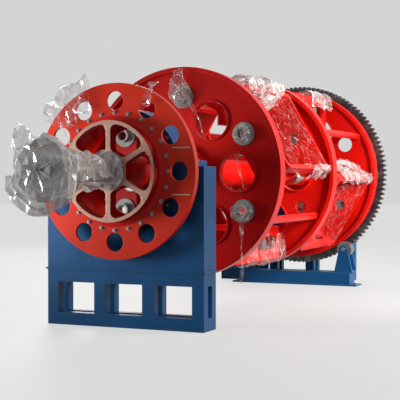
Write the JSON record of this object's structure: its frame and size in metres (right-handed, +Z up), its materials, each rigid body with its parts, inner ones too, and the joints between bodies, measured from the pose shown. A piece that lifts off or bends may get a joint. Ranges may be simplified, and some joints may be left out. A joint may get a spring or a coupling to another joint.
{
  "type": "cable laying-up machine",
  "caption": "Two-bay cable laying-up machine: a red rotor of spaced discs and bobbin cradles on blue stands, with a holed ring plate and a nose shaft.",
  "frame": {"origin": "on the floor under the middle of the front stand", "axes": "+Y along the rotor's axis from the lay plate to the drive, -X to the drive side, +Z up"},
  "size_m": [2.6081, 8.24, 2.8958],
  "materials": {
    "rotor_red": "gloss",
    "stand_blue": "satin",
    "bright_steel": "turned",
    "gear_steel": "oiled",
    "motor_grey": "satin"
  },
  "bodies": {
    "frame": {"front_stand_base": "stand_blue", "front_stand_panel": "stand_blue", "front_bearing_housing": "stand_blue", "rear_stand_base": "stand_blue", "rear_stand_panel": "stand_blue", "rear_bearing_housing": "stand_blue", "roller_base": "stand_blue", "roller_brackets": "stand_blue", "drive_plinth": "stand_blue", "gearbox": "stand_blue", "coupling_guard": "motor_grey", "motor": "motor_grey"},
    "rotor": {"journal_drum": "rotor_red", "ring_plate": "rotor_red", "front_spoke_wheel": "rotor_red", "rear_spoke_wheel": "rotor_red", "disc_1": "rotor_red", "disc_2": "rotor_red", "disc_3": "rotor_red", "cradle_1": "rotor_red", "cradle_2": "rotor_red", "cradle_3": "rotor_red", "cradle_4": "rotor_red", "cradle_5": "rotor_red", "cradle_6": "rotor_red", "cradle_ends_1": "rotor_red", "cradle_ends_2": "rotor_red", "tie_tubes": "rotor_red", "tie_flanges": "rotor_red", "main_tube": "rotor_red", "nose_shaft": "bright_steel", "lay_plate": "bright_steel", "lay_nut": "bright_steel", "pintles_1": "bright_steel", "pintles_2": "bright_steel", "guide_bushes": "bright_steel", "drive_ring": "gear_steel"},
    "roller_right": {"roller_right": "bright_steel"},
    "roller_left": {"roller_left": "bright_steel"},
    "pinion": {"pinion": "gear_steel"}
  },
  "joints": [
    {"name": "rotor_spin", "type": "hinge", "parent": "frame", "child": "rotor", "pos_m": [0, 0, 1.6], "axis": [0, 1, 0], "continuous": true},
    {"name": "roller_right_spin", "type": "hinge", "parent": "frame", "child": "roller_right", "pos_m": [0.75162, 5.22, 0.52658], "axis": [0, 1, 0], "continuous": true},
    {"name": "roller_left_spin", "type": "hinge", "parent": "frame", "child": "roller_left", "pos_m": [-0.75162, 5.22, 0.52658], "axis": [0, 1, 0], "continuous": true},
    {"name": "pinion_spin", "type": "hinge", "parent": "frame", "child": "pinion", "pos_m": [-1.1123, 5.46, 0.66667], "axis": [0, 1, 0], "continuous": true}
  ],
  "couplings": [
    {"joint": "roller_right_spin", "follows": "rotor_spin", "ratio": -10.909},
    {"joint": "roller_left_spin", "follows": "rotor_spin", "ratio": -10.909},
    {"joint": "pinion_spin", "follows": "rotor_spin", "ratio": -7.25}
  ]
}
